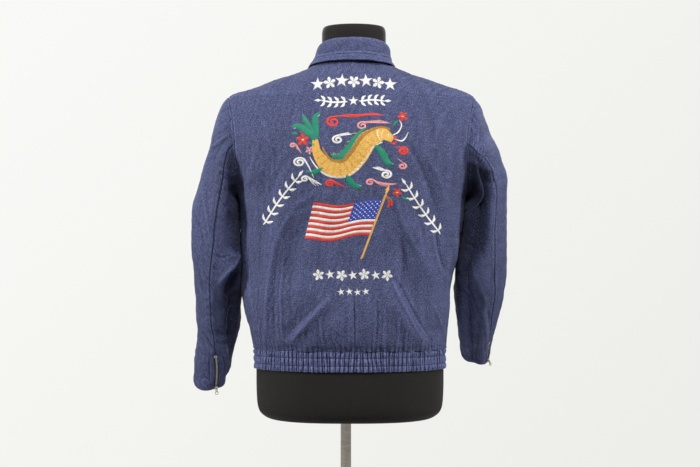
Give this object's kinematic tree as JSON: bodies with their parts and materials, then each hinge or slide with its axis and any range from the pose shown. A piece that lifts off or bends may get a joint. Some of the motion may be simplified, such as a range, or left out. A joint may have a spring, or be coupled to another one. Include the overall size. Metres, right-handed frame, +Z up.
{
  "type": "zipped jacket on a limbless dress form",
  "caption": "Indigo denim zip jacket with gathered waistband, shirt collar and zipped cuffs, worn by a black limbless dress form on a steel pole with a round foot.",
  "frame": {"origin": "on the floor, at the centre of the round foot's flat underside, on the pole's axis", "axes": "+Z up along the pole; -Y is the way the wearer's back faces; +X is the wearer's right, so the zip is on +Y"},
  "size_m": [0.5927, 0.3819, 1.565],
  "materials": {
    "indigo_denim": "matt",
    "zip_metal": "satin",
    "black_cover": "matt",
    "satin_steel": "satin",
    "black_paint": "satin"
  },
  "bodies": {
    "jacket_on_form": {"back": "indigo_denim", "front_left": "indigo_denim", "front_right": "indigo_denim", "sleeve_left_top": "indigo_denim", "sleeve_left_under": "indigo_denim", "sleeve_right_top": "indigo_denim", "sleeve_right_under": "indigo_denim", "collar": "indigo_denim", "waistband_back": "indigo_denim", "waistband_left": "indigo_denim", "waistband_right": "indigo_denim", "front_zip": "zip_metal", "front_slider": "zip_metal", "cuff_left_zip": "zip_metal", "cuff_left_slider": "zip_metal", "cuff_left_eyelet": "zip_metal", "cuff_right_zip": "zip_metal", "cuff_right_slider": "zip_metal", "cuff_right_eyelet": "zip_metal", "dress_form": "black_cover", "pole": "satin_steel", "foot": "black_paint"},
    "front_pull": {"front_pull": "zip_metal"},
    "cuff_left_pull": {"cuff_left_pull": "zip_metal"},
    "cuff_right_pull": {"cuff_right_pull": "zip_metal"}
  },
  "joints": [
    {"name": "front_pull_hinge", "type": "hinge", "parent": "jacket_on_form", "child": "front_pull", "pos_m": [0.0076, 0.08478, 1.42469], "axis": [1, 0, 0], "range_deg": [0, 150]},
    {"name": "cuff_left_pull_hinge", "type": "hinge", "parent": "jacket_on_form", "child": "cuff_left_pull", "pos_m": [-0.24464, 0.06335, 0.88568], "axis": [-0.9616, -0.2628, -0.0791], "range_deg": [-35, 110]},
    {"name": "cuff_right_pull_hinge", "type": "hinge", "parent": "jacket_on_form", "child": "cuff_right_pull", "pos_m": [0.27685, 0.14017, 0.93232], "axis": [-0.4768, -0.6585, -0.5823], "range_deg": [-24, 120]}
  ]
}
